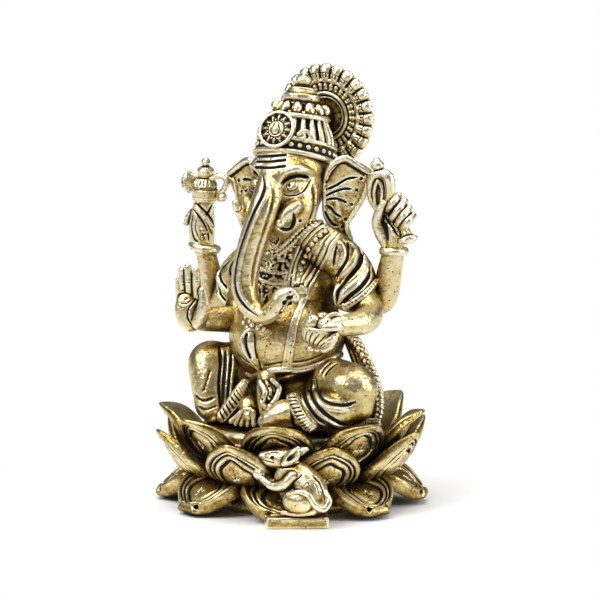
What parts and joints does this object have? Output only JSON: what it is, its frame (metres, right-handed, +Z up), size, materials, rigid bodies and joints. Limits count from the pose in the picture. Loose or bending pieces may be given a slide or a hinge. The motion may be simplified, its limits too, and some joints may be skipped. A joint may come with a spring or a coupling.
{
  "type": "seated deity statuette",
  "caption": "Seated four-armed elephant-headed deity on a double lotus with a small mouse on a plinth in front, a cast antique-gold statuette",
  "frame": {"origin": "centre of the flat foot under the lotus, on the surface that the statuette stands on", "axes": "+Z is up, the deity faces -Y, and +X is the deity's left"},
  "size_m": [0.0652, 0.0657, 0.1],
  "materials": {
    "antique_gold": "cast, gold plated, darkened in the recesses and polished on the high places",
    "dowel_brass": "plain turned brass, hidden"
  },
  "bodies": {
    "root": {"lotus_core": "antique_gold", "lower_petals": "antique_gold", "outer_petals": "antique_gold", "inner_petals": "antique_gold", "seat_pad": "antique_gold", "seat_dowel": "dowel_brass", "mouse_plinth": "antique_gold", "mouse_body": "antique_gold", "mouse_tail": "antique_gold", "mouse_sweet": "antique_gold", "torso": "antique_gold", "waist_sash": "antique_gold", "front_pleats": "antique_gold", "belly_pendant": "antique_gold", "sacred_thread": "antique_gold", "necklace": "antique_gold", "shawl_border": "antique_gold", "right_leg": "antique_gold", "right_foot": "antique_gold", "right_anklet": "antique_gold", "left_leg": "antique_gold", "left_foot": "antique_gold", "left_anklet": "antique_gold", "right_drape": "antique_gold", "left_drape": "antique_gold", "braided_sash": "antique_gold", "sash_tassel": "antique_gold", "shawl_tail": "antique_gold", "goad_arm": "antique_gold", "goad_hand": "antique_gold", "goad_bangle": "antique_gold", "goad_body": "antique_gold", "goad_blade": "antique_gold", "goad_hook": "antique_gold", "blessing_arm": "antique_gold", "blessing_hand": "antique_gold", "noose_arm": "antique_gold", "noose_hand": "antique_gold", "noose_bangle": "antique_gold", "noose_loop": "antique_gold", "noose_tail": "antique_gold", "bowl_arm": "antique_gold", "bowl_hand": "antique_gold", "bowl_bangle": "antique_gold", "sweets_bowl": "antique_gold", "sweets": "antique_gold", "head": "antique_gold", "trunk": "antique_gold", "right_tusk": "antique_gold", "left_tusk": "antique_gold", "right_ear": "antique_gold", "left_ear": "antique_gold", "crown_band": "antique_gold", "crown_dome": "antique_gold", "crown_top": "antique_gold", "crown_medallion": "antique_gold", "halo_plate": "antique_gold", "halo_lobes": "antique_gold"}
  },
  "joints": []
}
